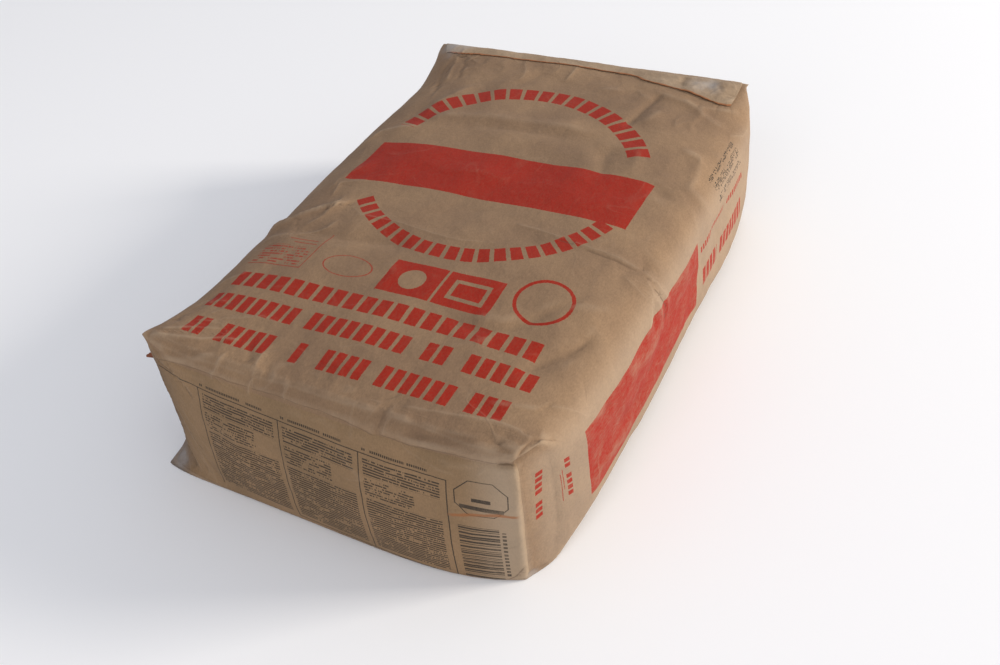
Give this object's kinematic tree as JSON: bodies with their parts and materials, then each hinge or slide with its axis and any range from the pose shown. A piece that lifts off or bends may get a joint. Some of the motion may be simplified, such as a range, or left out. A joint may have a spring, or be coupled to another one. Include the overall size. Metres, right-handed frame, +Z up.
{
  "type": "cement bag",
  "caption": "Full block-bottom valve sack of kraft paper with cement inside, lying flat: a pillow-shaped body with square folded ends, cover sheets and a paper valve.",
  "frame": {"origin": "on the floor, under the middle of the sack's box", "axes": "+Y along the sack, from the valve end to the far end; +X across it; +Z up, out of the broad printed side"},
  "size_m": [0.3308, 0.485, 0.1299],
  "materials": {
    "kraft_paper": "natural brown sack kraft, matt, creased, with red flexo print",
    "cover_paper": "natural brown kraft cover sheet, matt, glued",
    "valve_paper": "unprinted brown kraft, matt",
    "cement": "grey powder, matt"
  },
  "bodies": {
    "root": {"paper_sack": "kraft_paper", "cement_fill": "cement", "near_end_cover": "cover_paper", "far_end_cover": "cover_paper", "valve_sleeve": "valve_paper"}
  },
  "joints": []
}
